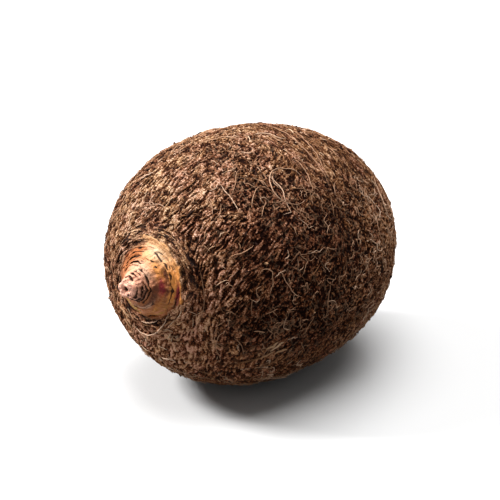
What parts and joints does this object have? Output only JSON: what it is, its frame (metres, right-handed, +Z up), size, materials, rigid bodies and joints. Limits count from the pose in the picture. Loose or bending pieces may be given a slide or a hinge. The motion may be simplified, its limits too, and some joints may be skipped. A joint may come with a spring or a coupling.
{
  "type": "taro root",
  "caption": "Whole barrel-shaped taro root with a stepped bud at its crown and brown fibrous bark, lying on a small flat on its belly.",
  "frame": {"origin": "centre of the bottom of the bounding box, on the plane that the root rests on", "axes": "+Z up, the long axis along Y with the bud at the -Y end raised by 6.2 degrees, +X across"},
  "size_m": [0.111, 0.1554, 0.1111],
  "materials": {
    "bark": "matte, rough and fibrous"
  },
  "bodies": {
    "root": {"taro_root": "bark"}
  },
  "joints": []
}
